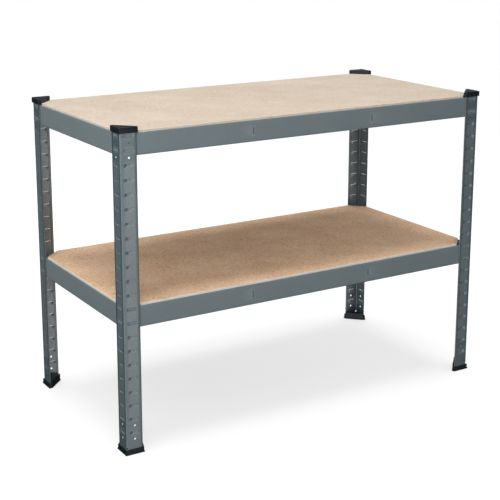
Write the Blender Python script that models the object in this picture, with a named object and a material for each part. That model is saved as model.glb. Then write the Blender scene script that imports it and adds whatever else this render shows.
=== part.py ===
"""Two-tier potting bench: a bolt-free frame of slotted steel angle posts and
hook-in beams that carries two loose boards.

Metres, +Z up. The origin is on the floor at the middle of the bench, X runs
along the long side and the front is towards -Y.
"""

import math

import bmesh
import bpy
from mathutils import Vector

# ---- overall sizes -------------------------------------------------------
WIDTH = 1.211            # outer face to outer face of the posts, along X
DEPTH = 0.592            # the same along Y
POST_LENGTH = 0.900
CLEAR = 0.0003           # gap between two pieces that touch

# ---- posts: slotted angle with folded-over edges -------------------------
SHEET = 0.0012
FLANGE = 0.0483
BEND_OUT = 0.0032
BEND_IN = 0.0020
HEM_THICK = 0.0025
HEM_WIDE = 0.0060
HEM_RAMP = 0.0010
SLOT_PITCH = 0.039
SLOT_TOP = 0.0203        # top of the post down to the first slot
SLOT_END = 0.0450        # plain length left at the post's lower end
TIER_SHARE = 0.55        # of the slots, between the two tiers
SLOT_NEAR = 0.0135       # post corner to the near end of a slot
SLOT_FAR = 0.0038        # far end of a slot to the folded edge
SLOT_TALL = 0.0094
BRIDGE_IN = 0.00135      # outer face of the flange to the bridge pressed in behind a slot
BRIDGE_THICK = 0.0011
BRIDGE_RAMP = 0.0020     # length of each sloping end of a bridge
HOLE_WIDE = 0.0060
CORNER_HOLE_WIDE = 0.0050
CORNER_HOLE_UP = 0.0170  # above the lower end of the post

# ---- beams: one rolled section for both lengths --------------------------
BEAM_TALL = 0.060
BEAM_LIP = 0.012
BEAM_BEND_OUT = 0.0024
BEAM_BEND_IN = 0.0012
BEAM_HEM = 0.0025
LEDGE_DROP = 0.0040      # top of the beam down to the ledge under the board
LEDGE_WIDE = 0.0150
HOOK_DROP = 0.0052       # top of the beam down to its first hook
HOOK_THICK = 0.0009
HOOK_NECK = 0.0006       # height of a hook's root
HOOK_SIDE = 0.0006       # play at each end of a hook
BAR_SLOT_WIDE = 0.0056
BAR_SLOT_TALL = 0.0230

# ---- boards and the bars under them --------------------------------------
BOARD_THICK = 0.0090
BOARD_PLAY = 0.0006      # board edge to the beam's folded top
BAR_PLACES = (-1 / 6, 1 / 6)          # share of the width, from the middle
TONGUE_TALL = BAR_SLOT_TALL - 4 * CLEAR
BAR_TOP_WIDE = 0.0250
BAR_FOOT_WIDE = 0.0120
BAR_END_GAP = 0.0010

# ---- plastic caps and feet -----------------------------------------------
PLASTIC_WALL = 0.0028
CAP_PLATE = 0.0016
CAP_TALL = 0.0155
CAP_ROUND = 0.0010
FOOT_SOLE = 0.0016
FOOT_SKIRT = 0.0145
FOOT_FLARE = 0.0014
FOOT_FLARE_TALL = 0.0050
FOOT_WEB_TALL = 0.0230
CORNER_CLEAR = 0.0030    # board corner cut to the cap

# ---- sizes that follow ---------------------------------------------------
SLOT_COUNT = int((POST_LENGTH - SLOT_TOP - SLOT_END) / SLOT_PITCH) + 1
TIER_STEP = round(SLOT_COUNT * TIER_SHARE)
HOLE_PLACES = (0, 1, SLOT_COUNT - 2, SLOT_COUNT - 1)
SLOT_LONG = FLANGE - HEM_WIDE - HEM_RAMP - SLOT_FAR - SLOT_NEAR
HOLE_FROM_CORNER = SLOT_NEAR + SLOT_LONG / 2
BRIDGE_LOW = CLEAR - SLOT_TALL / 2        # from the middle of a slot
BRIDGE_HIGH = SLOT_TALL / 2 - 2 * CLEAR - HOOK_NECK
BAR_SLOT_UP = BEAM_TALL / 2 + 0.0005   # up to the middle of the slot
POST_BOTTOM = FOOT_SOLE + CLEAR
POST_TOP = POST_BOTTOM + POST_LENGTH
FIRST_SLOT = POST_TOP - SLOT_TOP
BEAM_INSET = HEM_THICK + CLEAR
BEAM_END = BEAM_INSET + SHEET + 0.0005
LEDGE_CROP = BEAM_INSET + BEAM_HEM + LEDGE_WIDE + 0.004
TIER_TOPS = (FIRST_SLOT + HOOK_DROP, FIRST_SLOT + HOOK_DROP - TIER_STEP * SLOT_PITCH)
BOARD_INSET = BEAM_INSET + BEAM_HEM + BOARD_PLAY
TONGUE_UP = BAR_SLOT_UP - (BEAM_TALL - LEDGE_DROP)
BAR_TALL = TONGUE_TALL / 2 - TONGUE_UP    # the web ends level with its tongues
SHELL_OUT = CLEAR + PLASTIC_WALL          # plastic wall outside the post
SHELL_LEG = FLANGE + SHELL_OUT            # post corner to the wall past the tip
SHELL_STEP = HEM_THICK + SHELL_OUT        # where the slanted wall starts
BOARD_CUT = SHELL_LEG + SHELL_STEP + CORNER_CLEAR * math.sqrt(2) - 2 * BOARD_INSET


def fresh_collection(name):
    collection = bpy.data.collections.new(name)
    bpy.context.scene.collection.children.link(collection)
    return collection


for leftover in list(bpy.data.objects):
    bpy.data.objects.remove(leftover, do_unlink=True)

BENCH = fresh_collection("potting_bench")
CUTTERS = fresh_collection("cutters")
CUTTERS.hide_render = True


def material(name, colour, roughness, metallic):
    made = bpy.data.materials.new(name)
    made.use_nodes = True
    shader = made.node_tree.nodes["Principled BSDF"]
    shader.inputs["Base Color"].default_value = (*colour, 1.0)
    shader.inputs["Roughness"].default_value = roughness
    shader.inputs["Metallic"].default_value = metallic
    made.diffuse_color = (*colour, 1.0)
    return made


POST_COAT = material("post_powder_coat", (0.150, 0.185, 0.200), 0.5, 0.0)
BEAM_COAT = material("beam_powder_coat", (0.150, 0.185, 0.200), 0.5, 0.0)
BAR_COAT = material("bar_powder_coat", (0.150, 0.185, 0.200), 0.5, 0.0)
BOARD_FACE = material("fibre_board", (0.640, 0.500, 0.370), 0.7, 0.0)
PLASTIC = material("moulded_plastic", (0.016, 0.022, 0.027), 0.45, 0.0)


def place(name, mesh, collection, at=(0, 0, 0), turn=0.0, coat=None, smooth=False):
    """Puts a mesh in the scene under a name, turned about Z by a whole angle."""
    thing = bpy.data.objects.new(name, mesh)
    thing.location = at
    thing.rotation_euler = (0, 0, turn)
    collection.objects.link(thing)
    if coat:
        mesh.materials.clear()
        mesh.materials.append(coat)
    if smooth:
        for face in mesh.polygons:
            face.use_smooth = True
    if collection is CUTTERS:
        thing.hide_render = True
        thing.display_type = "WIRE"
    return thing


def cut(thing, tool, operation="DIFFERENCE"):
    step = thing.modifiers.new(operation.lower() + "_" + tool.name, "BOOLEAN")
    step.operation = operation
    step.solver = "EXACT"
    step.object = tool


def arc(centre, radius, start, end, steps):
    """Points on an arc, both ends included, angles in degrees."""
    angles = [math.radians(start + (end - start) * i / steps) for i in range(steps + 1)]
    return [(centre[0] + radius * math.cos(a), centre[1] + radius * math.sin(a)) for a in angles]


def add_prism(work, outline, to_3d, start, end):
    """Closed prism: the outline at two stations along the third direction."""
    rings = [[work.verts.new(to_3d(p, q, s)) for p, q in outline] for s in (start, end)]
    work.faces.new(rings[0])
    work.faces.new(reversed(rings[1]))
    count = len(outline)
    for i in range(count):
        j = (i + 1) % count
        work.faces.new((rings[0][i], rings[1][i], rings[1][j], rings[0][j]))


def add_box(work, low, high):
    flat = [(low[0], low[1]), (high[0], low[1]), (high[0], high[1]), (low[0], high[1])]
    add_prism(work, flat, along_z, low[2], high[2])


def finish(work, name):
    bmesh.ops.recalc_face_normals(work, faces=work.faces)
    mesh = bpy.data.meshes.new(name)
    work.to_mesh(mesh)
    work.free()
    return mesh


def along_z(p, q, s):
    return (p, q, s)


def along_x(p, q, s):
    return (s, p, q)


def along_y(p, q, s):
    return (p, s, q)


# ---- posts ---------------------------------------------------------------
def post_outline():
    """Angle section, corner at the origin, both edges folded back on themselves."""
    tip = HEM_THICK / 2
    reach = FLANGE - tip
    points = arc((BEND_OUT, BEND_OUT), BEND_OUT, 180, 270, 4)
    points += arc((reach, tip), tip, -90, 90, 4)
    points.append((FLANGE - HEM_WIDE, HEM_THICK))
    points.append((FLANGE - HEM_WIDE - HEM_RAMP, SHEET))
    points += arc((SHEET + BEND_IN, SHEET + BEND_IN), BEND_IN, 270, 180, 3)
    points.append((SHEET, FLANGE - HEM_WIDE - HEM_RAMP))
    points.append((HEM_THICK, FLANGE - HEM_WIDE))
    points += arc((tip, reach), tip, 0, 180, 4)
    return points


def slot_levels():
    return [FIRST_SLOT - i * SLOT_PITCH for i in range(SLOT_COUNT)]


def on_x_flange(p, q, s):
    return (p, s, q)


def on_y_flange(p, q, s):
    return (s, p, q)


def slot_cutter():
    """Every slot window, the round holes and the corner hole."""
    work = bmesh.new()
    near = SLOT_NEAR
    far = SLOT_NEAR + SLOT_LONG
    for flange in (on_x_flange, on_y_flange):
        for level in slot_levels():
            low = level - SLOT_TALL / 2
            high = level + SLOT_TALL / 2
            shape = [(near, low), (far, low), (far, high), (near, high)]
            add_prism(work, shape, flange, -0.001, SHEET + 0.001)
        for index in HOLE_PLACES:
            middle = FIRST_SLOT - (index + 0.5) * SLOT_PITCH
            ring = arc((HOLE_FROM_CORNER, middle), HOLE_WIDE / 2, 0, 330, 11)
            add_prism(work, ring, flange, -0.001, SHEET + 0.001)
    add_corner_hole(work)
    return finish(work, "slot_cutter")


def add_corner_hole(work):
    """Level cylinder along the diagonal of the angle, through its bend."""
    inward = Vector((1, 1, 0)).normalized()
    across = Vector((1, -1, 0)).normalized()
    level = POST_BOTTOM + CORNER_HOLE_UP

    def to_3d(p, q, s):
        return inward * s + across * p + Vector((0, 0, q))

    ring = arc((0, level), CORNER_HOLE_WIDE / 2, 0, 324, 9)
    add_prism(work, ring, to_3d, -0.002, 0.009)


def bridge_outline():
    """Strip bowed inwards behind a slot, its ends sunk in the flange on both sides."""
    near = SLOT_NEAR
    far = SLOT_NEAR + SLOT_LONG
    back = BRIDGE_IN + BRIDGE_THICK
    root = SHEET / 2
    points = [(near - BRIDGE_RAMP, root), (near - BRIDGE_RAMP, SHEET - 0.0001), (near, back)]
    points += [(far, back), (far + BRIDGE_RAMP, SHEET - 0.0001), (far + BRIDGE_RAMP, root)]
    points += [(far + BRIDGE_RAMP / 2, root), (far - 0.0004, BRIDGE_IN)]
    points += [(near + 0.0004, BRIDGE_IN), (near - BRIDGE_RAMP / 2, root)]
    return points


def bridges():
    """The pressed-in bridge of every slot, cut free along its top and bottom edges."""
    work = bmesh.new()
    for level in slot_levels():
        low = level + BRIDGE_LOW
        high = level + BRIDGE_HIGH
        add_prism(work, bridge_outline(), along_z, low, high)
        mirrored = [(q, p) for p, q in reversed(bridge_outline())]
        add_prism(work, mirrored, along_z, low, high)
    return finish(work, "bridges")


CORNERS = (
    ("front_left", -1, -1, 0),
    ("front_right", 1, -1, 90),
    ("rear_right", 1, 1, 180),
    ("rear_left", -1, 1, 270),
)


def corner_place(side_x, side_y):
    return (side_x * WIDTH / 2, side_y * DEPTH / 2, 0)


def build_posts():
    slots = slot_cutter()
    strips = bridges()
    for name, side_x, side_y, degrees in CORNERS:
        at = corner_place(side_x, side_y)
        turn = math.radians(degrees)
        work = bmesh.new()
        add_prism(work, post_outline(), along_z, POST_BOTTOM, POST_TOP)
        post = place("post_" + name, finish(work, "post"), BENCH, at, turn, POST_COAT)
        cut(post, place("slots_" + name, slots, CUTTERS, at, turn))
        cut(post, place("bridges_" + name, strips, CUTTERS, at, turn), "UNION")


# ---- caps and feet -------------------------------------------------------
def shell_outline(grow=0.0, inner=0.0):
    """Corner triangle with cut-off tips. grow widens it, inner thins it for the cavity."""
    out = -(SHELL_OUT + grow - inner)
    leg = SHELL_LEG + grow - inner
    step = SHELL_STEP + grow - inner
    return [(out, out), (leg, out), (leg, step), (step, leg), (out, leg)]


def rounded(outline, radius, steps=3):
    """Replaces each corner of a convex outline by an arc of that radius."""
    made = []
    count = len(outline)
    for i in range(count):
        here = Vector(outline[i])
        back = (Vector(outline[i - 1]) - here).normalized()
        ahead = (Vector(outline[(i + 1) % count]) - here).normalized()
        half = back.angle(ahead) / 2
        reach = radius / math.tan(half)
        centre = here + (back + ahead).normalized() * (radius / math.sin(half))
        first = here + back * reach - centre
        last = here + ahead * reach - centre
        sweep = first.angle_signed(last)
        for k in range(steps + 1):
            turn = sweep * k / steps
            x = first.x * math.cos(turn) + first.y * math.sin(turn)
            y = first.y * math.cos(turn) - first.x * math.sin(turn)
            made.append((centre.x + x, centre.y + y))
    return made


def loft(work, levels):
    """Closed body through equal-length outlines at rising heights."""
    rings = [[work.verts.new((x, y, z)) for x, y in outline] for outline, z in levels]
    count = len(rings[0])
    work.faces.new(reversed(rings[0]))
    work.faces.new(rings[-1])
    for low, high in zip(rings, rings[1:]):
        for i in range(count):
            j = (i + 1) % count
            work.faces.new((low[i], low[j], high[j], high[i]))


def cap_mesh():
    top = POST_TOP + CLEAR + CAP_PLATE
    work = bmesh.new()
    full = rounded(shell_outline(), 0.0016)
    eased = rounded(shell_outline(inner=CAP_ROUND * 0.3), 0.0016)
    small = rounded(shell_outline(inner=CAP_ROUND), 0.0012)
    low = top - CAP_TALL
    loft(work, [(full, low), (full, top - CAP_ROUND), (eased, top - CAP_ROUND * 0.3), (small, top)])
    return finish(work, "cap")


def cap_cavity():
    work = bmesh.new()
    hollow = shell_outline(inner=PLASTIC_WALL)
    low = POST_TOP + CLEAR + CAP_PLATE - CAP_TALL - 0.002
    add_prism(work, hollow, along_z, low, POST_TOP + CLEAR)
    return finish(work, "cap_cavity")


def foot_mesh():
    work = bmesh.new()
    plain = rounded(shell_outline(), 0.0016)
    wide = rounded(shell_outline(grow=FOOT_FLARE), 0.0016)
    levels = [(wide, 0.0), (wide, FOOT_FLARE_TALL * 0.5), (plain, FOOT_FLARE_TALL)]
    levels.append((plain, FOOT_WEB_TALL))
    loft(work, levels)
    return finish(work, "foot")


def foot_cavity():
    """Room for the post end above the sole; the slanted web keeps its full height."""
    work = bmesh.new()
    hollow = shell_outline(inner=PLASTIC_WALL)
    add_prism(work, hollow, along_z, FOOT_SOLE, FOOT_WEB_TALL + 0.002)
    return finish(work, "foot_cavity")


def foot_lower_sides():
    """Takes the two outer walls down to the skirt, so only the web stands higher."""
    work = bmesh.new()
    out = -(SHELL_OUT + 0.004)
    leg = SHELL_LEG + 0.004
    near = CLEAR * 2
    shape = [(out, out), (leg, out), (leg, near), (near, near), (near, leg), (out, leg)]
    add_prism(work, shape, along_z, FOOT_SKIRT, FOOT_WEB_TALL + 0.003)
    return finish(work, "foot_lower_sides")


def build_plastic():
    hollow_cap = cap_cavity()
    hollow_foot = foot_cavity()
    trim_foot = foot_lower_sides()
    for name, side_x, side_y, degrees in CORNERS:
        at = corner_place(side_x, side_y)
        turn = math.radians(degrees)
        cap = place("cap_" + name, cap_mesh(), BENCH, at, turn, PLASTIC)
        cut(cap, place("cap_cavity_" + name, hollow_cap, CUTTERS, at, turn))
        foot = place("foot_" + name, foot_mesh(), BENCH, at, turn, PLASTIC)
        cut(foot, place("foot_cavity_" + name, hollow_foot, CUTTERS, at, turn))
        cut(foot, place("foot_trim_" + name, trim_foot, CUTTERS, at, turn))


# ---- beams ---------------------------------------------------------------
def beam_outline():
    """Section seen along the beam: outer face at zero, board side positive."""
    top = BEAM_TALL
    fold = BEAM_HEM / 2
    points = [(BEAM_LIP, 0)]
    points += arc((BEAM_BEND_OUT, BEAM_BEND_OUT), BEAM_BEND_OUT, 270, 180, 3)
    points += arc((fold, top - fold), fold, 180, 0, 4)
    points += [(BEAM_HEM, top - LEDGE_DROP), (BEAM_HEM + LEDGE_WIDE, top - LEDGE_DROP)]
    points += [(BEAM_HEM + LEDGE_WIDE, top - LEDGE_DROP - SHEET), (SHEET, top - LEDGE_DROP - SHEET)]
    points += arc((SHEET + BEAM_BEND_IN, SHEET + BEAM_BEND_IN), BEAM_BEND_IN, 180, 270, 3)
    points.append((BEAM_LIP, SHEET))
    return points


def hook_outline():
    """Pressed tongue: a root that rests on a bridge's upper edge, and a flat plate that
    hangs down in front of the bridge and fills the slot window."""
    out = -BEAM_INSET + (BRIDGE_IN - CLEAR - HOOK_THICK)
    face = out + HOOK_THICK
    tall = SLOT_TALL / 2 - CLEAR
    root = tall - HOOK_NECK
    return [(SHEET / 2, root), (face, root), (face, -tall), (out, -tall), (out, tall), (SHEET / 2, tall)]


def beam_mesh(half):
    work = bmesh.new()
    add_prism(work, beam_outline(), along_x, -half + LEDGE_CROP, half - LEDGE_CROP)
    return finish(work, "beam")


def beam_ends(half):
    """Flat end plates that slide in behind the post flanges."""
    work = bmesh.new()
    low = BEAM_BEND_OUT
    high = BEAM_TALL - CLEAR
    for side in (-1, 1):
        a, b = sorted((side * (half - BEAM_END), side * (half - LEDGE_CROP - 0.004)))
        add_box(work, (a, 0, low), (b, SHEET, high))
    return finish(work, "beam_ends")


def beam_hooks(half):
    work = bmesh.new()
    for side in (-1, 1):
        a = side * (half - SLOT_NEAR - HOOK_SIDE)
        b = side * (half - SLOT_NEAR - SLOT_LONG + HOOK_SIDE)
        for level in (BEAM_TALL - HOOK_DROP, BEAM_TALL - HOOK_DROP - SLOT_PITCH):
            shape = [(u, w + level) for u, w in hook_outline()]
            add_prism(work, shape, along_x, min(a, b), max(a, b))
    return finish(work, "beam_hooks")


def bar_slots():
    work = bmesh.new()
    for share in BAR_PLACES:
        middle = share * WIDTH
        a = middle - BAR_SLOT_WIDE / 2
        low = BAR_SLOT_UP - BAR_SLOT_TALL / 2
        add_box(work, (a, -0.001, low), (a + BAR_SLOT_WIDE, SHEET + 0.001, low + BAR_SLOT_TALL))
    return finish(work, "bar_slots")


SIDES = (
    ("front", 0, -1, 0),
    ("rear", 0, 1, 180),
    ("left", -1, 0, 270),
    ("right", 1, 0, 90),
)


def build_beams():
    for tier, top in zip(("upper", "lower"), TIER_TOPS):
        for name, side_x, side_y, degrees in SIDES:
            half = (DEPTH if side_x else WIDTH) / 2
            x = side_x * (WIDTH / 2 - BEAM_INSET)
            y = side_y * (DEPTH / 2 - BEAM_INSET)
            at = (x, y, top - BEAM_TALL)
            turn = math.radians(degrees)
            label = tier + "_" + name
            beam = place("beam_" + label, beam_mesh(half), BENCH, at, turn, BEAM_COAT)
            cut(beam, place("ends_" + label, beam_ends(half), CUTTERS, at, turn), "UNION")
            cut(beam, place("hooks_" + label, beam_hooks(half), CUTTERS, at, turn), "UNION")
            if side_y:
                cut(beam, place("bar_slots_" + label, bar_slots(), CUTTERS, at, turn))


# ---- boards and bars -----------------------------------------------------
def board_mesh():
    """Flat board with its four corners cut at 45 degrees to pass the posts."""
    x = WIDTH / 2 - BOARD_INSET
    y = DEPTH / 2 - BOARD_INSET
    cut_back = BOARD_CUT
    outline = [(-x + cut_back, -y), (x - cut_back, -y), (x, -y + cut_back), (x, y - cut_back)]
    outline += [(x - cut_back, y), (-x + cut_back, y), (-x, y - cut_back), (-x, -y + cut_back)]
    work = bmesh.new()
    add_prism(work, outline, along_z, 0, BOARD_THICK)
    return finish(work, "board")


def bar_mesh():
    """Channel bar, web upright under the board, one tongue at each end."""
    inner = DEPTH / 2 - BEAM_INSET - BEAM_HEM - LEDGE_WIDE - BAR_END_GAP
    half = SHEET / 2
    wide = BAR_TOP_WIDE - half
    foot = BAR_FOOT_WIDE - half
    shape = [(-half, 0), (-half, -BAR_TALL), (foot, -BAR_TALL), (foot, -BAR_TALL + SHEET)]
    shape += [(half, -BAR_TALL + SHEET), (half, -SHEET), (wide, -SHEET), (wide, 0)]
    work = bmesh.new()
    add_prism(work, shape, along_y, -inner, inner)
    return finish(work, "bar")


def bar_tongues():
    """Ends of the web that run under the ledges and into the slots of the beams."""
    inner = DEPTH / 2 - BEAM_INSET - BEAM_HEM - LEDGE_WIDE - BAR_END_GAP
    reach = DEPTH / 2 - BEAM_INSET - CLEAR
    low = TONGUE_UP - TONGUE_TALL / 2
    half = SHEET / 2
    work = bmesh.new()
    for side in (-1, 1):
        a, b = sorted((side * (inner - 0.010), side * reach))
        add_box(work, (-half, a, low), (half, b, low + TONGUE_TALL))
    return finish(work, "bar_tongues")


def build_boards():
    for tier, top in zip(("upper", "lower"), TIER_TOPS):
        ledge = top - LEDGE_DROP
        place("board_" + tier, board_mesh(), BENCH, (0, 0, ledge + CLEAR), 0, BOARD_FACE)
        for side, share in zip(("left", "right"), BAR_PLACES):
            at = (share * WIDTH, 0, ledge)
            label = tier + "_" + side
            bar = place("cross_bar_" + label, bar_mesh(), BENCH, at, 0, BAR_COAT)
            cut(bar, place("tongues_" + label, bar_tongues(), CUTTERS, at), "UNION")


build_posts()
build_plastic()
build_beams()
build_boards()
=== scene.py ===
"""Two-tier potting bench in a plain studio: slotted steel angle posts, hook-in
folded beams, loose fibre boards, moulded caps and feet, built over the CAD frame."""

import math

import bpy
import numpy as np
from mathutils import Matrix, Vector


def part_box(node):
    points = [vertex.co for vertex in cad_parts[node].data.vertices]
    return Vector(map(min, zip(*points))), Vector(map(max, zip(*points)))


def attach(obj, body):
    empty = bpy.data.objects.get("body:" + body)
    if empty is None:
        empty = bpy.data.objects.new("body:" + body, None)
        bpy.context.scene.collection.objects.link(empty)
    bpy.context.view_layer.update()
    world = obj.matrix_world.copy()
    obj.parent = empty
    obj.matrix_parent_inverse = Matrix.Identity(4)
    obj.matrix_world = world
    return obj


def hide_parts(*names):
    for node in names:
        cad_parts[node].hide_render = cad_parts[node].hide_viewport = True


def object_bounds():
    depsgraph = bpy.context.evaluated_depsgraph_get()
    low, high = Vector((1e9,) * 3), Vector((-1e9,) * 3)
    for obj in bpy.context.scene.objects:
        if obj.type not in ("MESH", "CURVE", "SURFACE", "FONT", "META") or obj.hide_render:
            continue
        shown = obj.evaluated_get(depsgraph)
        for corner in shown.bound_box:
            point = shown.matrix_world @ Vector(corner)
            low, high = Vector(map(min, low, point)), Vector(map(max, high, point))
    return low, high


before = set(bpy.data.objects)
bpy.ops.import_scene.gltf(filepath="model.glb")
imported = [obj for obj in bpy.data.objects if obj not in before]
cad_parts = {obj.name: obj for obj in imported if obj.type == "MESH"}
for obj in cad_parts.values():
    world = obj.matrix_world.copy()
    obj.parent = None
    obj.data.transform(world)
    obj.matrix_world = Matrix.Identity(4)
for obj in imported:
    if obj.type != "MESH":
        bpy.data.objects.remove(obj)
cad_low, cad_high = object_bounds()

# ---- sizes the fine pieces share with the solid ones, in metres ------------
SHEET = 0.0012
CLEAR = 0.0003
FLANGE = 0.0483
POST_BEND = 0.0026        # to the middle of the sheet
HEM_THICK = 0.0025
HEM_WIDE = 0.0060
SLOT_PITCH = 0.039
SLOT_COUNT = 22
SLOT_TOP = 0.0203
SLOT_NEAR = 0.0135
SLOT_FAR = 0.0375
SLOT_HALF = 0.0047
BRIDGE_LOW = -0.0046      # pressed-in bridge, from the middle of its slot
BRIDGE_HIGH = 0.0042
BRIDGE_IN = 0.00135
BRIDGE_RAMP = 0.0024
ROLL_EDGE = 0.0408
HOLE_RADIUS = 0.0030
CORNER_HOLE_RADIUS = 0.0025
CORNER_HOLE_UP = 0.0170
BEAM_TALL = 0.060
BEAM_LIP = 0.012
BEAM_INSET = HEM_THICK + CLEAR
LEDGE_DROP = 0.0040
LEDGE_REACH = 0.0175
BEAM_END = BEAM_INSET + SHEET + 0.0005
LEDGE_CROP = 0.0243
HOOK_DROP = 0.0052
HOOK_OUT = 0.00015        # outer face of the flange to the face of a hook
HOOK_BACK = 0.00105
HOOK_LOW = -0.0044
HOOK_HIGH = 0.00455
HOOK_SIDE = 0.0003
BAR_SLOT_WIDE = 0.0056
BAR_SLOT_TALL = 0.0230
BAR_SLOT_UP = 0.0305
BAR_TALL = 0.0364
TONGUE_WIDE = 0.0050      # the bar's end is folded double where it fills the slot
TONGUE_LONG = 0.0036
BAR_TOP_WIDE = 0.0250
BAR_FOOT_WIDE = 0.0120
SHELL_WALL = 0.0028
SHELL_OUT = 0.0031
SHELL_LEG = 0.0514
SHELL_STEP = 0.0056
CAP_TALL = 0.0155
FOOT_SKIRT = 0.0145
FOOT_WEB = 0.0230
FOOT_FLARE = 0.0014
BOARD_CUT = 0.0500        # leg of a cut-off board corner
BOARD_EASE = 0.0004

# camera: place, turn from the front and tilt below level in degrees, lens in mm, shift
CAMERA_AT = (-1.8753, -2.9890, 1.4472)
CAMERA_TURN = 31.24
CAMERA_TILT = 13.16
CAMERA_LENS = 85.13
CAMERA_SHIFT = (0.0169, -0.13)

CORNERS = {"front_left": 0, "front_right": 1, "rear_right": 2, "rear_left": 3}
SIDES = {"front": 0, "right": 1, "rear": 2, "left": 3}


# ---- meshes ----------------------------------------------------------------
def quarter_turns(points, turns):
    """Points turned about Z by whole quarter turns: (x, y) goes to (-y, x) each time."""
    c, s = ((1, 0), (0, 1), (-1, 0), (0, -1))[turns % 4]
    x, y, z = points[..., 0], points[..., 1], points[..., 2]
    return np.stack([c * x - s * y, s * x + c * y, z], axis=-1)


def new_piece(name, points, faces, coats, slot_name, replaced=(), coat_of=None, ease=35, **marks):
    """Object at the origin from points and lists of faces, smooth up to the ease angle."""
    mesh = bpy.data.meshes.new(name)
    mesh.from_pydata(points.tolist(), [], [face.tolist() for face in faces])
    for coat in coats:
        mesh.materials.append(coat)
    if coat_of is not None:
        mesh.polygons.foreach_set("material_index", np.asarray(coat_of, np.int32))
    for key, values in marks.items():
        mesh.attributes.new(key, "FLOAT", "POINT").data.foreach_set("value", values.astype(np.float32))
    mesh.polygons.foreach_set("use_smooth", np.ones(len(mesh.polygons), bool))
    mesh.update()
    mesh.set_sharp_from_angle(angle=math.radians(ease))
    piece = bpy.data.objects.new(name, mesh)
    bpy.context.scene.collection.objects.link(piece)
    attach(piece, "root")
    if replaced:
        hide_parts(*replaced)
    return piece


def folded_line(corners, radii, steps=6):
    """Middle line of a folded sheet. Each inner corner becomes an arc of its radius,
    tangent to both legs. Returns the points, unit normals on the right-hand side of
    the walk, and the distance walked."""
    corners = np.asarray(corners, float)
    points = [corners[0]]
    for here, back, ahead, radius in zip(corners[1:-1], corners[:-2], corners[2:], radii):
        into = (here - back) / np.linalg.norm(here - back)
        away = (ahead - here) / np.linalg.norm(ahead - here)
        turn = math.atan2(into[0] * away[1] - into[1] * away[0], into @ away)
        reach = radius * math.tan(abs(turn) / 2)
        side = np.array([-into[1], into[0]]) * math.copysign(1, turn)
        centre = here - into * reach + side * radius
        angles = np.linspace(0, turn, steps + 1)[:, None]
        spoke = -side
        points += list(centre + radius * (np.cos(angles) * spoke
                                          + np.sin(angles) * np.array([-spoke[1], spoke[0]])))
    points = np.array(points + [corners[-1]])
    leg = np.diff(points, axis=0)
    size = np.linalg.norm(leg, axis=1, keepdims=True)
    right = np.stack([leg[:, 1], -leg[:, 0]], axis=1) / size
    normals = np.concatenate([right[:1], right[:-1] + right[1:], right[-1:]])
    normals /= np.linalg.norm(normals, axis=1, keepdims=True)
    return points, normals, np.concatenate([[0], np.cumsum(size)])


def along_line(line, walked):
    """Points and unit normals of a folded line at the given distances along it."""
    points, normals, distance = line
    at = np.stack([np.interp(walked, distance, points[:, k]) for k in (0, 1)], axis=-1)
    out = np.stack([np.interp(walked, distance, normals[:, k]) for k in (0, 1)], axis=-1)
    return at, out / np.linalg.norm(out, axis=-1, keepdims=True)


def grid_lines(values, shortest=2e-5):
    """Sorted grid lines with near doubles dropped."""
    values = np.sort(np.asarray(values, float))
    return values[np.concatenate([[True], np.diff(values) > shortest])]


def pressed_sheet(line, across, along, open_cells, to_row, thick=SHEET, press=None, rounds=()):
    """Sheet metal part as a function of two parameters: distance across the fold line
    and distance along the part. Both faces are the middle surface moved half a sheet
    along its normal, plus the press depth. Cells marked open are left out, and a wall
    joins the two faces round every opening and outer edge. A ring of grid points at a
    round hole's half-width is drawn onto its circle. Returns points, faces, the cut-edge
    mark and each point's distance across."""
    s, t = np.meshgrid(across, along, indexing="ij")
    for s_mid, t_mid, radius in rounds:
        ds, dt = s - s_mid, t - t_mid
        square = np.maximum(abs(ds), abs(dt))
        ring = abs(square - radius) < 1e-6
        shrink = np.where(ring, radius / np.maximum(np.hypot(ds, dt), 1e-9), 1.0)
        s, t = s_mid + ds * shrink, t_mid + dt * shrink
    middle, out = along_line(line, s)
    depth = press(s, t) if press else np.zeros_like(s)
    faces_at = []
    for sign in (1, -1):
        flat = middle + out * (sign * thick / 2 - depth)[..., None]
        faces_at.append(to_row(flat, t))
    count = s.size
    number = np.arange(count).reshape(s.shape)
    solid = ~open_cells
    a, b = number[:-1, :-1], number[1:, :-1]
    c, d = number[1:, 1:], number[:-1, 1:]
    cell = np.stack([a, b, c, d], axis=-1)[solid]
    quads = [cell, cell[:, ::-1] + count]
    padded = np.pad(solid, 1)
    here, before = padded[1:, 1:-1], padded[:-1, 1:-1]
    upright = np.stack([number[:, :-1], number[:, 1:], number[:, 1:] + count,
                        number[:, :-1] + count], axis=-1)
    quads += [upright[here & ~before], upright[before & ~here][:, ::-1]]
    here, before = padded[1:-1, 1:], padded[1:-1, :-1]
    level = np.stack([number[1:, :], number[:-1, :], number[:-1, :] + count,
                      number[1:, :] + count], axis=-1)
    quads += [level[here & ~before], level[before & ~here][:, ::-1]]
    walls = np.concatenate(quads[2:])
    rub = np.zeros(2 * count)
    rub[walls.ravel()] = 1.0
    quads = np.concatenate(quads)
    points = np.concatenate([side.reshape(-1, 3) for side in faces_at])
    used, quads = np.unique(quads, return_inverse=True)
    return points[used], quads.reshape(-1, 4), rub[used], np.tile(s.ravel(), 2)[used]


def ring_lines(middle, radius):
    """Grid lines a round hole needs: its edge, half-way in, and clear of it outside."""
    return middle + radius * np.array([-1.8, -1, -0.5, 0, 0.5, 1, 1.8])


def inside(values, low, high):
    """Marks grid cells whose middle lies between two values."""
    middle = (values[:-1] + values[1:]) / 2
    return (middle > low) & (middle < high)


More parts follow.
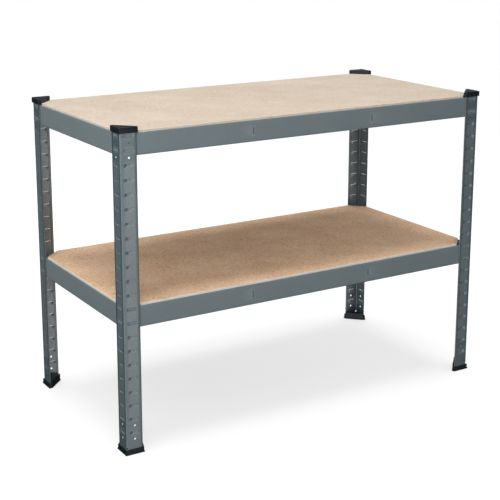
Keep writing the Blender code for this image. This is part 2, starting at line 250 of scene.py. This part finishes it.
# ---- posts -------------------------------------------------------------------
def build_post(name, turns, coats):
    """Slotted angle: L-shaped middle line with both edges folded back on themselves,
    carried up the post, with round holes, and with slots whose metal is still there as a
    strip that bows inwards between two cuts."""
    low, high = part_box("post_" + name)
    bottom, top = low.z, high.z
    half = SHEET / 2
    back = HEM_THICK - half
    fold = (HEM_THICK - SHEET) / 2
    tip = FLANGE
    corners = [(back, tip - HEM_WIDE), (back, tip - half), (half, tip - half), (half, half),
               (tip - half, half), (tip - half, back), (tip - HEM_WIDE, back)]
    line = folded_line(corners, [fold, fold, POST_BEND, fold, fold])
    bend = line[2][len(line[2]) // 2]
    start = bend + POST_BEND * math.pi / 4 - (half + POST_BEND)

    def both(values):
        """Distances from the post's corner on either flange, as places on the line."""
        values = np.asarray(values) + start - bend
        return np.concatenate([bend + values, bend - values])

    levels = top - SLOT_TOP - SLOT_PITCH * np.arange(SLOT_COUNT)
    hole_levels = levels[[0, 1, -2, -1]] - SLOT_PITCH / 2
    hole_at = (SLOT_NEAR + SLOT_FAR) / 2
    ramp = BRIDGE_RAMP / 2
    ends = [SLOT_NEAR - ramp, SLOT_NEAR, SLOT_NEAR + ramp, SLOT_FAR - ramp, SLOT_FAR, SLOT_FAR + ramp]
    across = [line[2], both(ends), both([0.0075, ROLL_EDGE, ROLL_EDGE + 0.0006]),
              both(ring_lines(hole_at, HOLE_RADIUS)), ring_lines(bend, CORNER_HOLE_RADIUS)]
    across = grid_lines(np.concatenate(across))
    steps = np.array([SLOT_HALF, BRIDGE_HIGH, BRIDGE_LOW, -SLOT_HALF])
    corner_level = bottom + CORNER_HOLE_UP
    along = [[bottom, top], (levels[:, None] + steps).ravel(),
             ring_lines(corner_level, CORNER_HOLE_RADIUS)]
    along += [ring_lines(level, HOLE_RADIUS) for level in hole_levels]
    along = grid_lines(np.concatenate(along))
    cuts = np.zeros(len(along) - 1, bool)
    for level in levels:
        cuts |= inside(along, level + BRIDGE_HIGH, level + SLOT_HALF)
        cuts |= inside(along, level - SLOT_HALF, level + BRIDGE_LOW)
    opened = np.zeros((len(across) - 1, len(along) - 1), bool)
    places = [(bend, corner_level, CORNER_HOLE_RADIUS)]
    for flip in (1, -1):
        shift = flip * (start - bend) + bend
        slot = inside(across, *sorted((flip * ends[0] + shift, flip * ends[-1] + shift)))
        opened |= np.outer(slot, cuts)
        places += [(flip * hole_at + shift, level, HOLE_RADIUS) for level in hole_levels]
    for s_mid, t_mid, radius in places:
        hole = inside(across, s_mid - radius, s_mid + radius)
        opened |= np.outer(hole, inside(along, t_mid - radius, t_mid + radius))

    def press(s, t):
        """Bridges: the strip between each pair of cuts bows inwards, with sloping ends."""
        away = abs(s - bend) + bend - start
        slide = np.clip(np.minimum(away - ends[0], ends[-1] - away) / BRIDGE_RAMP, 0, 1)
        beyond = t[..., None] - levels
        within = ((beyond > BRIDGE_LOW - 5e-5) & (beyond < BRIDGE_HIGH + 5e-5)).any(axis=-1)
        return BRIDGE_IN * slide * slide * (3 - 2 * slide) * within

    origin = ((low.x, low.y), (high.x, low.y), (high.x, high.y), (low.x, high.y))[turns]

    def to_row(flat, t):
        return quarter_turns(np.stack([flat[..., 0], flat[..., 1], t], -1), turns) + (*origin, 0)

    points, faces, rub, walked = pressed_sheet(line, across, along, opened, to_row,
                                               press=press, rounds=places)
    away = abs(walked - bend) + bend - start
    roll = np.clip((away - ROLL_EDGE) / 0.0006, 0, 1) * (away < FLANGE)
    new_piece("slotted_post_" + name, points, faces, coats, "post_coat", ["post_" + name],
              rub=rub, roll=roll)


# ---- beams and bars --------------------------------------------------------
def side_frame(node, turns, outer):
    """Places a part drawn with its outer face towards -Y and its length along X."""
    low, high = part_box(node)
    middle = (np.array(low) + np.array(high)) / 2
    reach = (cad_high - cad_low)[(1, 0)[turns % 2]] / 2 - outer
    shift = ((0, -reach), (reach, 0), (0, reach), (-reach, 0))[turns]
    bottom = low.z
    assert abs(middle[(0, 1)[turns % 2]]) < 1e-4

    def to_row(flat, t):
        local = np.stack([t, flat[..., 0], flat[..., 1]], axis=-1)
        return quarter_turns(local, turns) + (*shift, bottom)

    return to_row


def build_beam(tier, side, turns, coats):
    """Folded beam: ledge, folded-over top edge, face and bottom lip as one line carried
    along the beam, cropped at its ends to the flat face that slips behind the posts."""
    name = "beam_" + tier + "_" + side
    outer_post = SHELL_OUT + FOOT_FLARE
    half = ((cad_high - cad_low)[turns % 2]) / 2 - outer_post
    to_row = side_frame(name, turns, outer_post + BEAM_INSET)
    mid = SHEET / 2
    fold = (HEM_THICK - SHEET) / 2
    back = HEM_THICK - mid
    ledge = BEAM_TALL - LEDGE_DROP - mid
    top = BEAM_TALL - mid
    corners = [(LEDGE_REACH, ledge), (back, ledge), (back, top), (mid, top), (mid, mid),
               (BEAM_LIP, mid)]
    line = folded_line(corners, [0.0009, fold, fold, 0.0018])
    face_top = line[2][np.argmin(abs(line[0][:, 1] - (top - fold)) + abs(line[0][:, 0] - mid))]

    def down(height):
        """Place on the line of a height on the face."""
        return face_top + (top - fold) - np.asarray(height)

    crop = half - LEDGE_CROP
    end = half - BEAM_END
    low_end = 0.0024
    slot_low = BAR_SLOT_UP - BAR_SLOT_TALL / 2
    slot_high = BAR_SLOT_UP + BAR_SLOT_TALL / 2
    across = [line[2], down([low_end, slot_low, slot_high, 0.010, 0.030, 0.050])]
    along = [np.linspace(-crop, crop, 25), [-end, end]]
    bars = [(cad_high.x - cad_low.x - 2 * outer_post) * share for share in (-1 / 6, 1 / 6)]
    if turns % 2 == 0:
        along.append([bar + sign * BAR_SLOT_WIDE / 2 for bar in bars for sign in (-1, 1)])
    across, along = grid_lines(np.concatenate(across)), grid_lines(np.concatenate(along))
    opened = np.outer(~inside(across, face_top, down(low_end)), ~inside(along, -crop, crop))
    if turns % 2 == 0:
        for bar in bars:
            tall = inside(across, down(slot_high), down(slot_low))
            wide = inside(along, bar - BAR_SLOT_WIDE / 2, bar + BAR_SLOT_WIDE / 2)
            opened |= np.outer(tall, wide)
    points, faces, rub, _ = pressed_sheet(line, across, along, opened, to_row)
    hooks, hook_faces = build_hooks(half, to_row)
    faces = np.concatenate([faces, hook_faces + len(points)])
    points = np.concatenate([points, hooks])
    rub = np.concatenate([rub, np.zeros(len(hooks))])
    new_piece("folded_" + name, points, faces, coats, "beam_coat", [name], rub=rub)


def build_hooks(half, to_row):
    """Four pressed hooks: a thin root over the bridge's upper edge and a plate hanging in
    the slot, its outer edges eased. Each is a closed loop round the section, carried along
    the hook, its ends drawn in to a line."""
    out, back = HOOK_OUT - BEAM_INSET, HOOK_BACK - BEAM_INSET
    ease = 0.0003
    section = np.array([(0.0006, HOOK_HIGH - 0.0003), (back, HOOK_HIGH - 0.0003), (back, HOOK_LOW),
                        (out + ease, HOOK_LOW), (out, HOOK_LOW + ease), (out, HOOK_HIGH - ease),
                        (out + ease, HOOK_HIGH), (0.0006, HOOK_HIGH)])
    stations = np.array([0, 0, 0.0004, 0.0012, 0.0228, 0.0236, 0.024, 0.024])
    shrink = np.array([0, 0.9, 0.97, 1, 1, 0.97, 0.9, 0])
    parts = []
    for sign in (-1, 1):
        ends = sorted((sign * (half - SLOT_NEAR - HOOK_SIDE), sign * (half - SLOT_FAR + HOOK_SIDE)))
        for level in (BEAM_TALL - HOOK_DROP, BEAM_TALL - HOOK_DROP - SLOT_PITCH):
            t = ends[0] + (ends[1] - ends[0]) * stations / stations[-1]
            parts.append(closed_loft(section, (0, level), t, shrink, to_row))
    return joined(parts)


def closed_loft(section, offset, t, shrink, to_row):
    """A closed section carried along t, scaled about its middle by shrink at each station,
    so that a shrink of nothing closes an end."""
    middle = section.mean(axis=0)
    flat = middle + (section - middle)[:, None, :] * shrink[:, None] + offset
    shape = to_row(flat, np.broadcast_to(t, flat.shape[:2]))
    number = np.arange(shape[..., 0].size).reshape(shape.shape[:2])
    around = np.roll(number, -1, axis=0)
    quads = np.stack([number[:, :-1], number[:, 1:], around[:, 1:], around[:, :-1]], -1)
    return shape.reshape(-1, 3), quads.reshape(-1, 4)


def joined(parts):
    """Several (points, faces) pairs as one."""
    starts = np.cumsum([0] + [len(points) for points, _ in parts])
    return (np.concatenate([points for points, _ in parts]),
            np.concatenate([faces + start for (_, faces), start in zip(parts, starts)]))


def build_bar(tier, side, coats):
    """Channel bar under a board: top, web and foot as one line carried along the bar,
    its ends cropped to the tongue that enters the long beam's slot."""
    name = "cross_bar_" + tier + "_" + side
    low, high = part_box(name)
    web = low.x + SHEET / 2
    top = high.z
    mid = SHEET / 2
    corners = [(web + BAR_TOP_WIDE - mid, top - mid), (web, top - mid),
               (web, top - BAR_TALL + mid), (web + BAR_FOOT_WIDE - mid, top - BAR_TALL + mid)]
    line = folded_line(corners, [0.0014, 0.0014])
    web_top = line[2][np.argmin(abs(line[0][:, 1] - (top - mid - 0.0014)) + abs(line[0][:, 0] - web))]

    def down(height):
        return web_top + (top - mid - 0.0014) - np.asarray(height)

    inner = high.y - (BEAM_INSET + HEM_THICK + 0.015 + 0.001) + (BEAM_INSET + CLEAR)
    tongue = top - BAR_TALL + 0.0021
    tongue_top = top - BAR_TALL + BAR_SLOT_TALL - 4 * CLEAR
    across = grid_lines(np.concatenate([line[2], down([tongue, tongue_top])]))
    along = grid_lines([low.y, -inner, -0.1, 0.1, inner, high.y])
    opened = np.outer(~inside(across, down(tongue_top), down(tongue)), ~inside(along, -inner, inner))

    def to_row(flat, t):
        return np.stack([flat[..., 0], -t, flat[..., 1]], axis=-1)

    points, faces, rub, _ = pressed_sheet(line, across, along, opened, to_row)
    wide = TONGUE_WIDE / 2
    half_gap = high.y - TONGUE_LONG
    corner = 0.0006
    foot, head = top - BAR_TALL - 0.0003, tongue_top + 0.0003
    section = np.array([(-wide, foot + corner), (corner - wide, foot), (wide - corner, foot),
                        (wide, foot + corner), (wide, head - corner), (wide - corner, head),
                        (corner - wide, head), (-wide, head - corner)]) + (web, 0)
    shrink = np.array([0, 0.88, 1, 1, 0.88, 0])
    tongues = []
    for sign in (-1, 1):
        t = np.sort(sign * (half_gap + TONGUE_LONG * np.array([0, 0, 0.06, 0.94, 1, 1])))
        tongues.append(closed_loft(section, (0, 0), t, shrink, to_row))
    points, faces = joined([(points, faces)] + tongues)
    rub = np.concatenate([rub, np.zeros(len(points) - len(rub))])
    new_piece("channel_" + name, points, faces, coats, "bar_coat", [name], rub=rub)


# ---- moulded caps and feet ---------------------------------------------------
def shell_corner(inset, radius, samples=7):
    """Outline of the corner triangle with cut-off tips, moved in by an inset, as a
    closed walk with an arc at each corner: each side moves along its own normal and
    neighbouring sides meet again."""
    slant = 1 / math.sqrt(2)
    sides = [((0, -1), SHELL_OUT), ((1, 0), SHELL_LEG), ((slant, slant), (SHELL_LEG + SHELL_STEP) * slant),
             ((0, 1), SHELL_LEG), ((-1, 0), SHELL_OUT)]
    normals = np.array([n for n, _ in sides])
    offsets = np.array([o for _, o in sides]) - inset
    walk = []
    for k in range(5):
        first, second = k, (k + 1) % 5
        meet = np.linalg.solve(normals[[first, second]], offsets[[first, second]] - radius)
        angles = [math.atan2(*normals[i][::-1]) for i in (first, second)]
        sweep = (angles[1] - angles[0]) % (2 * math.pi)
        angle = angles[0] + sweep * np.linspace(0, 1, samples)
        walk.append(meet + radius * np.stack([np.cos(angle), np.sin(angle)], axis=1))
    return np.concatenate(walk)


def moulding(name, levels, place, coats, replaced):
    """Closed moulding from rings: each level is an outline and its heights, and quads
    join each ring to the next. The first and last rings are filled flat."""
    rings = [np.column_stack([outline, np.broadcast_to(height, len(outline))])
             for outline, height in levels]
    grid = np.stack(rings)
    count = grid.shape[1]
    number = np.arange(grid.shape[0] * count).reshape(grid.shape[:2])
    ahead = np.roll(number, -1, axis=1)
    quads = np.stack([number[:-1], ahead[:-1], ahead[1:], number[1:]], axis=-1).reshape(-1, 4)
    faces = list(quads) + [number[0][::-1], number[-1]]
    return new_piece(name, place(grid.reshape(-1, 3)), faces, coats, "plastic", replaced, ease=40)


def corner_place(node, turns):
    """Places a part drawn outwards from the post corner at (0, 0) on the floor."""
    low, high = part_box(node)
    origin = ((low.x, low.y), (high.x, low.y), (high.x, high.y), (low.x, high.y))[turns]

    def place(points):
        return quarter_turns(points, turns) + (*origin, 0)

    return place


def build_cap(name, turns, coats):
    """Push-on cap: rings run from the hollow's roof down the inside of the skirt, round
    its lip, up the outside, over an eased edge and in across a slightly sunk top."""
    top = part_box("cap_" + name)[1].z
    low = top - CAP_TALL
    roof = top - 0.0016
    lip = 0.0005
    levels = [(shell_corner(SHELL_WALL, 0.0004), roof), (shell_corner(SHELL_WALL, 0.0004), low + lip),
              (shell_corner(SHELL_WALL - lip, 0.0008), low),
              (shell_corner(lip, 0.0013), low), (shell_corner(0, 0.0018), low + lip),
              (shell_corner(0, 0.0018), top - 0.0012), (shell_corner(0.0002, 0.0017), top - 0.0006),
              (shell_corner(0.0006, 0.0014), top - 0.0002), (shell_corner(0.0012, 0.0010), top),
              (shell_corner(0.0030, 0.0008), top), (shell_corner(0.0035, 0.0006), top - 0.0004),
              (shell_corner(0.0060, 0.0005), top - 0.0005)]
    place = corner_place("post_" + name, turns)
    moulding("moulded_cap_" + name, levels, place, coats, ["cap_" + name])


def build_foot(name, turns, coats):
    """Push-on foot: flared base, outer skirt low on the two outer sides and a higher web
    on the slanted side. The rim height is a smooth step of the distance from the corner."""
    slant = 1 / math.sqrt(2)

    def rim(outline):
        """Rim height: low beside the outer walls, high over the slanted side."""
        past = outline @ (slant, slant) - (SHELL_LEG + SHELL_STEP) * slant + SHELL_WALL
        near = np.minimum(outline[:, 0], outline[:, 1])
        high = np.clip((past + 0.0002) / 0.0010, 0, 1) * np.clip((near - 0.0002) / 0.0006, 0, 1)
        return FOOT_SKIRT + (FOOT_WEB - FOOT_SKIRT) * high * high * (3 - 2 * high)

    inner, outer = shell_corner(SHELL_WALL, 0.0004, 9), shell_corner(0, 0.0018, 9)
    lip_in, lip_out = shell_corner(SHELL_WALL - 0.0005, 0.0008, 9), shell_corner(0.0005, 0.0013, 9)
    levels = [(inner, 0.0016), (inner, rim(inner) - 0.0005), (lip_in, rim(lip_in)),
              (lip_out, rim(lip_out)), (outer, rim(outer) - 0.0005),
              (outer, 0.0060), (shell_corner(-0.0002, 0.0018, 9), 0.0048),
              (shell_corner(-FOOT_FLARE * 0.9, 0.0020, 9), 0.0032),
              (shell_corner(-FOOT_FLARE, 0.0020, 9), 0.0024), (shell_corner(-FOOT_FLARE, 0.0020, 9), 0.0005),
              (shell_corner(-FOOT_FLARE + 0.0005, 0.0016, 9), 0.0)]
    place = corner_place("post_" + name, turns)
    moulding("moulded_foot_" + name, levels, place, coats, ["foot_" + name])


# ---- boards ------------------------------------------------------------------
def build_board(tier, coats):
    """Board with 45 degree corners: an eight-sided ring carried up from an eased lower
    edge to an eased upper edge, both faces flat."""
    name = "board_" + tier
    low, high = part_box(name)
    ease = BOARD_EASE

    def ring(inset):
        a, b, c = high.x - inset, high.y - inset, BOARD_CUT - inset * (2 - math.sqrt(2))
        half = np.array([(a - c, -b), (a, -b + c), (a, b - c), (a - c, b)])
        return np.concatenate([half, -half])

    rings = [(ring(ease), low.z), (ring(0), low.z + ease), (ring(0), high.z - ease),
             (ring(ease), high.z)]
    grid = np.stack([np.column_stack([r, np.full(8, z)]) for r, z in rings])
    number = np.arange(32).reshape(4, 8)
    ahead = np.roll(number, -1, axis=1)
    quads = np.stack([number[:-1], ahead[:-1], ahead[1:], number[1:]], axis=-1).reshape(-1, 4)
    faces = list(quads) + [number[0][::-1], number[-1]]
    coat_of = [1] * len(quads) + [0, 0]
    new_piece("fibre_" + name, grid.reshape(-1, 3), faces, coats, "board_face", [name],
              coat_of=coat_of, ease=20)



# ---- materials ---------------------------------------------------------------
def linear(code):
    """sRGB hex value to linear colour, with alpha."""
    parts = [int(code[i:i + 2], 16) / 255 for i in (0, 2, 4)]
    return (*[p / 12.92 if p <= 0.04045 else ((p + 0.055) / 1.055) ** 2.4 for p in parts], 1.0)


def add(tree, kind, settings=(), **links):
    """Adds a node, sets its properties and unlinked inputs, and links the rest."""
    node = tree.nodes.new(kind)
    for key, value in dict(settings).items():
        if isinstance(key, int) or key in node.inputs:
            node.inputs[key].default_value = value
        else:
            setattr(node, key, value)
    for key, source in links.items():
        target = node.inputs[int(key[1:])] if key[1:].isdigit() else node.inputs[key.replace("_", " ")]
        tree.links.new(source, target)
    return node


def toned(tree, source, *stops):
    """Colour ramp through (position, hex value) stops in rising order."""
    node = add(tree, "ShaderNodeValToRGB", i0=source)
    elements = node.color_ramp.elements
    for _ in stops[2:]:
        elements.new(1.0)
    for element, (position, code) in zip(elements, stops):
        element.position = position
        element.color = linear(code)
    return node.outputs["Color"]


def bumped(tree, shader, height, strength, depth):
    """Links a bump of the given depth in metres to the shader's normal."""
    bump = add(tree, "ShaderNodeBump", {"Strength": strength, "Distance": depth}, Height=height)
    tree.links.new(bump.outputs[0], shader.inputs["Normal"])


def per_metre(size):
    """Noise scale whose features are about this many millimetres across."""
    return 1000.0 / size


def surface(name, **sockets):
    """New material with a Principled shader and fixed values on its own sockets."""
    made = bpy.data.materials.new(name)
    made.use_nodes = True
    shader = made.node_tree.nodes["Principled BSDF"]
    for key, value in sockets.items():
        shader.inputs[key.replace("_", " ")].default_value = value
    return made, made.node_tree, shader


def powder_coat(name, code, pale, rubbed, gloss, level, index):
    """Steel with a baked polyester powder coat: an even satin grey with the faint dimpled
    skin that melted powder leaves, paler on cut edges, darker beside folded flange edges.
    The real dimples are under a millimetre across and are drawn at 2.4 mm so that they show."""
    made, tree, shader = surface(name, Metallic=0.0, IOR=index, Specular_IOR_Level=level)
    place = add(tree, "ShaderNodeTexCoord").outputs["Object"]
    cloud = add(tree, "ShaderNodeTexNoise", {"Scale": per_metre(110), "Detail": 3.0}, Vector=place)
    grain = add(tree, "ShaderNodeTexNoise", {"Scale": per_metre(3), "Detail": 2.0}, Vector=place)
    blend = add(tree, "ShaderNodeMath", {"operation": "MULTIPLY_ADD", 1: 0.5}, i0=cloud.outputs["Fac"],
                i2=grain.outputs["Fac"])
    tone = toned(tree, blend.outputs[0], (0.45, code), (1.0, pale))
    # colour up to 24 per cent darker on the strip of each post flange next to its folded-back edge
    roll = add(tree, "ShaderNodeAttribute", {"attribute_name": "roll"})
    fold_strip_factor = add(tree, "ShaderNodeMath", {"operation": "MULTIPLY_ADD", 1: -0.24, 2: 1.0},
                 i0=roll.outputs["Fac"])
    fold_strip_darkened = add(tree, "ShaderNodeVectorMath", {"operation": "SCALE"}, i0=tone,
                 Scale=fold_strip_factor.outputs[0])
    rub = add(tree, "ShaderNodeAttribute", {"attribute_name": "rub"})
    worn = add(tree, "ShaderNodeMath", {"operation": "MULTIPLY"}, i0=rub.outputs["Fac"],
               i1=grain.outputs["Fac"])
    colour = add(tree, "ShaderNodeMix", {"data_type": "RGBA", 7: linear(rubbed)}, i0=worn.outputs[0],
                 i6=fold_strip_darkened.outputs[0])
    tree.links.new(colour.outputs[2], shader.inputs["Base Color"])
    peel = add(tree, "ShaderNodeTexNoise", {"Scale": per_metre(2.4), "Detail": 1.0}, Vector=place)
    bumped(tree, shader, peel.outputs["Fac"], 0.12, 0.0004)
    rough = add(tree, "ShaderNodeMapRange", {"From Min": 0.3, "From Max": 0.7, "To Min": gloss - 0.04,
                                             "To Max": gloss + 0.04}, Value=cloud.outputs["Fac"])
    tree.links.new(rough.outputs[0], shader.inputs["Roughness"])
    return made


def fibre_board(name, base, pale, dark, speck, rare):
    """Bare pressed fibre board, sanded: a warm tan felt of short fibres in all directions,
    cloudy over a hand's width, with a few dark bark specks. Single fibres are a tenth of a
    millimetre thick, so clumps of them are drawn, 5.5 mm across."""
    made, tree, shader = surface(name, Roughness=0.78, IOR=1.45)
    place = add(tree, "ShaderNodeTexCoord").outputs["Object"]
    cloud = add(tree, "ShaderNodeTexNoise", {"Scale": per_metre(140), "Detail": 4.0, "Roughness": 0.6},
                Vector=place)
    felt = add(tree, "ShaderNodeTexNoise", {"Scale": per_metre(5.5), "Detail": 4.0, "Roughness": 0.7,
                                            "Distortion": 1.5}, Vector=place)
    mixed = add(tree, "ShaderNodeMath", {"operation": "MULTIPLY_ADD", 1: 0.30}, i0=cloud.outputs["Fac"],
                i2=felt.outputs["Fac"])
    tone = toned(tree, mixed.outputs[0], (0.49, dark), (0.645, base), (0.80, pale))
    cells = add(tree, "ShaderNodeTexVoronoi", {"Scale": per_metre(14), "Randomness": 1.0}, Vector=place)
    few = add(tree, "ShaderNodeSeparateColor", i0=cells.outputs["Color"])
    chosen = add(tree, "ShaderNodeMath", {"operation": "GREATER_THAN", 1: rare}, i0=few.outputs[0])
    near = add(tree, "ShaderNodeMapRange", {"From Min": 0.10, "From Max": 0.28, "To Min": 1.0, "To Max": 0.0},
               Value=cells.outputs["Distance"])
    spot = add(tree, "ShaderNodeMath", {"operation": "MULTIPLY"}, i0=chosen.outputs[0], i1=near.outputs[0])
    softer = add(tree, "ShaderNodeMath", {"operation": "MULTIPLY", 1: 0.75}, i0=spot.outputs[0])
    colour = add(tree, "ShaderNodeMix", {"data_type": "RGBA", 7: linear(speck)}, i0=softer.outputs[0],
                 i6=tone)
    tree.links.new(colour.outputs[2], shader.inputs["Base Color"])
    bumped(tree, shader, felt.outputs["Fac"], 0.25, 0.0003)
    return made


def sawn_edge(name, pale, dark):
    """Sawn edge of the same board: paler and rougher, with fine layers that run along it."""
    made, tree, shader = surface(name, Roughness=0.85, IOR=1.45)
    place = add(tree, "ShaderNodeTexCoord").outputs["Object"]
    stretch = add(tree, "ShaderNodeMapping", {"Scale": (per_metre(25), per_metre(25), per_metre(1.4))},
                  Vector=place)
    layers = add(tree, "ShaderNodeTexNoise", {"Scale": 1.0, "Detail": 4.0}, Vector=stretch.outputs[0])
    tone = toned(tree, layers.outputs["Fac"], (0.35, dark), (0.6, pale))
    tree.links.new(tone, shader.inputs["Base Color"])
    bumped(tree, shader, layers.outputs["Fac"], 0.3, 0.0003)
    return made


def moulded_plastic(name, code, pale):
    """Black polypropylene from a spark-eroded mould: satin, with a fine even grain, drawn at
    1.1 mm where the real one is nearer a tenth of that."""
    made, tree, shader = surface(name, Roughness=0.42, IOR=1.49, Specular_IOR_Level=0.35)
    place = add(tree, "ShaderNodeTexCoord").outputs["Object"]
    grain = add(tree, "ShaderNodeTexNoise", {"Scale": per_metre(1.1), "Detail": 2.0}, Vector=place)
    tone = toned(tree, grain.outputs["Fac"], (0.0, code), (1.0, pale))
    tree.links.new(tone, shader.inputs["Base Color"])
    bumped(tree, shader, grain.outputs["Fac"], 0.15, 0.0002)
    return made


# Posts and beams share one powder coat. The posts' copy has a darker colour, a painted shade set for how
# light falls on the posts, and it is also glossier.
POST_COAT_SHADED_TONE = powder_coat("post_satin_powder_coat_shaded_tone", "4A5E64", "53676E", "7C888C", 0.33, 1.0, 1.7)
BEAM_COAT = powder_coat("beam_powder_coated_steel", "778387", "7E8A8E", "8F999C", 0.45, 0.3, 1.5)
# The two boards are one fibre board, in two copies whose colours are set for the light each gets. The upper
# copy is set for full overhead light. The lower copy's face and edge colours are brighter and browner to
# stand in for the shade and for the brown light bounced down from the upper board: painted shade and painted
# bounce light.
TOP_FACE_LIT_TONE = fibre_board("sanded_fibre_board_upper_lit_tone", "B7A898", "C4B6A7", "A59583", "86715D", 0.93)
LOW_FACE_SHADE_TONE = fibre_board("sanded_fibre_board_lower_shade_tone", "D4B190", "EAC9AC", "B58F6F", "6E5038", 0.88)
TOP_EDGE_LIT_TONE = sawn_edge("sawn_fibre_board_edge_upper_lit_tone", "DED3C5", "CEC0AF")
LOW_EDGE_SHADE_TONE = sawn_edge("sawn_fibre_board_edge_lower_shade_tone", "F1EBE2", "E2D8CB")
PLASTIC = moulded_plastic("moulded_polypropylene", "0A1418", "111C22")

for corner, turns in CORNERS.items():
    build_post(corner, turns, [POST_COAT_SHADED_TONE])
    build_cap(corner, turns, [PLASTIC])
    build_foot(corner, turns, [PLASTIC])
for tier in ("upper", "lower"):
    for side, turns in SIDES.items():
        build_beam(tier, side, turns, [BEAM_COAT])
    for side in ("left", "right"):
        build_bar(tier, side, [BEAM_COAT])
build_board("upper", [TOP_FACE_LIT_TONE, TOP_EDGE_LIT_TONE])
build_board("lower", [LOW_FACE_SHADE_TONE, LOW_EDGE_SHADE_TONE])


# ---- studio ------------------------------------------------------------------
FLOOR_HALF = 30.0
FLOOR_LEVEL = -0.0002
SUN_STRENGTH = 2.45
SUN_ANGLE = 30.0          # degrees across, for a wide soft shadow
LIGHT_AIM = (0, 0, 0.5)

# name, place, aim, size in metres, watts, whether glossy coats mirror it
SOFTBOXES = (
    ("upper_left_softbox", (-2.2, -0.5, 2.8), LIGHT_AIM, (1.5, 1.5), 21, True),
    ("near_left_softbox", (-1.6, -1.4, 2.3), LIGHT_AIM, (1.0, 1.0), 13, True),
    ("camera_side_softbox", (-1.35, -1.9, 1.5), LIGHT_AIM, (0.8, 0.8), 7, True),
    ("right_softbox", (3.0, 0.2, 1.8), LIGHT_AIM, (1.5, 1.5), 18, True),
    ("rear_softbox", (0.2, 3.2, 2.0), LIGHT_AIM, (1.5, 1.5), 34, False),
    ("rear_left_softbox", (-2.6, 2.4, 1.8), LIGHT_AIM, (1.5, 1.5), 3, True),
    ("front_strip", (-0.5, -3.0, 1.0), (-0.4, 0, 0.7), (0.7, 1.6), 8, True),
)

# brighter areas of the room: direction, cosines of the soft edge and the core, strength
ROOM_PATCHES = (
    ((0.25, -0.92, -0.30), 0.95, 0.985, 1.5),
    ((-0.884, -0.412, -0.220), 0.84, 0.94, 1.60),
)


def build_floor():
    """Wide square sheet just under the feet, clear from below so that the underside shows."""
    half = FLOOR_HALF
    mesh = bpy.data.meshes.new("studio_floor")
    mesh.from_pydata([(-half, -half, 0), (half, -half, 0), (half, half, 0), (-half, half, 0)], [],
                     [(0, 1, 2, 3)])
    floor = bpy.data.objects.new("studio_floor", mesh)
    floor.location.z = FLOOR_LEVEL
    bpy.context.scene.collection.objects.link(floor)
    made, tree, shader = surface("lit_white_floor", Roughness=0.9, Base_Color=linear("969696"),
                                 Specular_IOR_Level=0.0, Emission_Color=(1, 1, 1, 1),
                                 Emission_Strength=0.665)
    side = add(tree, "ShaderNodeNewGeometry")
    clear = add(tree, "ShaderNodeBsdfTransparent")
    both = add(tree, "ShaderNodeMixShader", i0=side.outputs["Backfacing"], i1=shader.outputs[0],
               i2=clear.outputs[0])
    tree.links.new(both.outputs[0], tree.nodes["Material Output"].inputs["Surface"])
    mesh.materials.append(made)
    floor.visible_diffuse = False
    floor.visible_glossy = False


def area_light(name, at, aim, size, watts, mirrored):
    """Rectangular softbox turned towards a point."""
    lamp = bpy.data.lights.new(name, "AREA")
    lamp.shape = "RECTANGLE"
    lamp.size, lamp.size_y = size
    lamp.energy = watts
    thing = bpy.data.objects.new(name, lamp)
    thing.location = at
    direction = Vector(aim) - Vector(at)
    thing.rotation_euler = direction.to_track_quat("-Z", "Y").to_euler()
    thing.visible_glossy = mirrored
    bpy.context.scene.collection.objects.link(thing)


def build_world():
    """Soft room light: a sky that brightens upwards, little from below, and two brighter areas low in
    the room that the glossier posts mirror. The camera sees plain white."""
    world = bpy.data.worlds.new("studio_room")
    world.use_nodes = True
    bpy.context.scene.world = world
    tree = world.node_tree
    back = tree.nodes["Background"]
    place = add(tree, "ShaderNodeTexCoord").outputs["Generated"]
    part = add(tree, "ShaderNodeSeparateXYZ", i0=place)
    sky = add(tree, "ShaderNodeMapRange", {"interpolation_type": "SMOOTHSTEP", "From Min": -0.1,
                                           "From Max": 0.9, "To Min": 0.06, "To Max": 0.38},
              Value=part.outputs[2])
    room = sky.outputs[0]
    for direction, edge, core, strength in ROOM_PATCHES:
        toward = add(tree, "ShaderNodeVectorMath", {"operation": "DOT_PRODUCT", 1: direction},
                     i0=place)
        patch = add(tree, "ShaderNodeMapRange", {"interpolation_type": "SMOOTHSTEP", "From Min": edge,
                                                 "From Max": core, "To Min": 0.0, "To Max": strength},
                    Value=toward.outputs["Value"])
        room = add(tree, "ShaderNodeMath", {"operation": "ADD"}, i0=room, i1=patch.outputs[0]).outputs[0]
    path = add(tree, "ShaderNodeLightPath")
    seen = add(tree, "ShaderNodeMix", {"data_type": "FLOAT", 3: 1.0}, i0=path.outputs["Is Camera Ray"],
               i2=room)
    tree.links.new(seen.outputs[0], back.inputs["Strength"])
    back.inputs["Color"].default_value = (1, 1, 1, 1)


def build_light():
    """Room light, a wide overhead light for the soft shadow, and the softboxes."""
    build_world()
    lamp = bpy.data.lights.new("overhead_light", "SUN")
    lamp.energy = SUN_STRENGTH
    lamp.angle = math.radians(SUN_ANGLE)
    overhead = bpy.data.objects.new("overhead_light", lamp)
    overhead.location = (0, 0, 3)
    bpy.context.scene.collection.objects.link(overhead)
    for softbox in SOFTBOXES:
        area_light(*softbox)
    bpy.context.scene.view_settings.view_transform = "Standard"
    bpy.context.scene.view_settings.look = "None"


def build_camera():
    """Three-quarter view from the front left, above the top board."""
    lens = bpy.data.cameras.new("front_left_camera")
    lens.sensor_width = 36.0
    lens.lens = CAMERA_LENS
    lens.shift_x, lens.shift_y = CAMERA_SHIFT
    lens.clip_end = 200
    eye = bpy.data.objects.new("front_left_camera", lens)
    eye.location = CAMERA_AT
    eye.rotation_euler = (math.radians(90 - CAMERA_TILT), 0, math.radians(-CAMERA_TURN))
    bpy.context.scene.collection.objects.link(eye)
    bpy.context.scene.camera = eye


build_floor()
build_light()
build_camera()
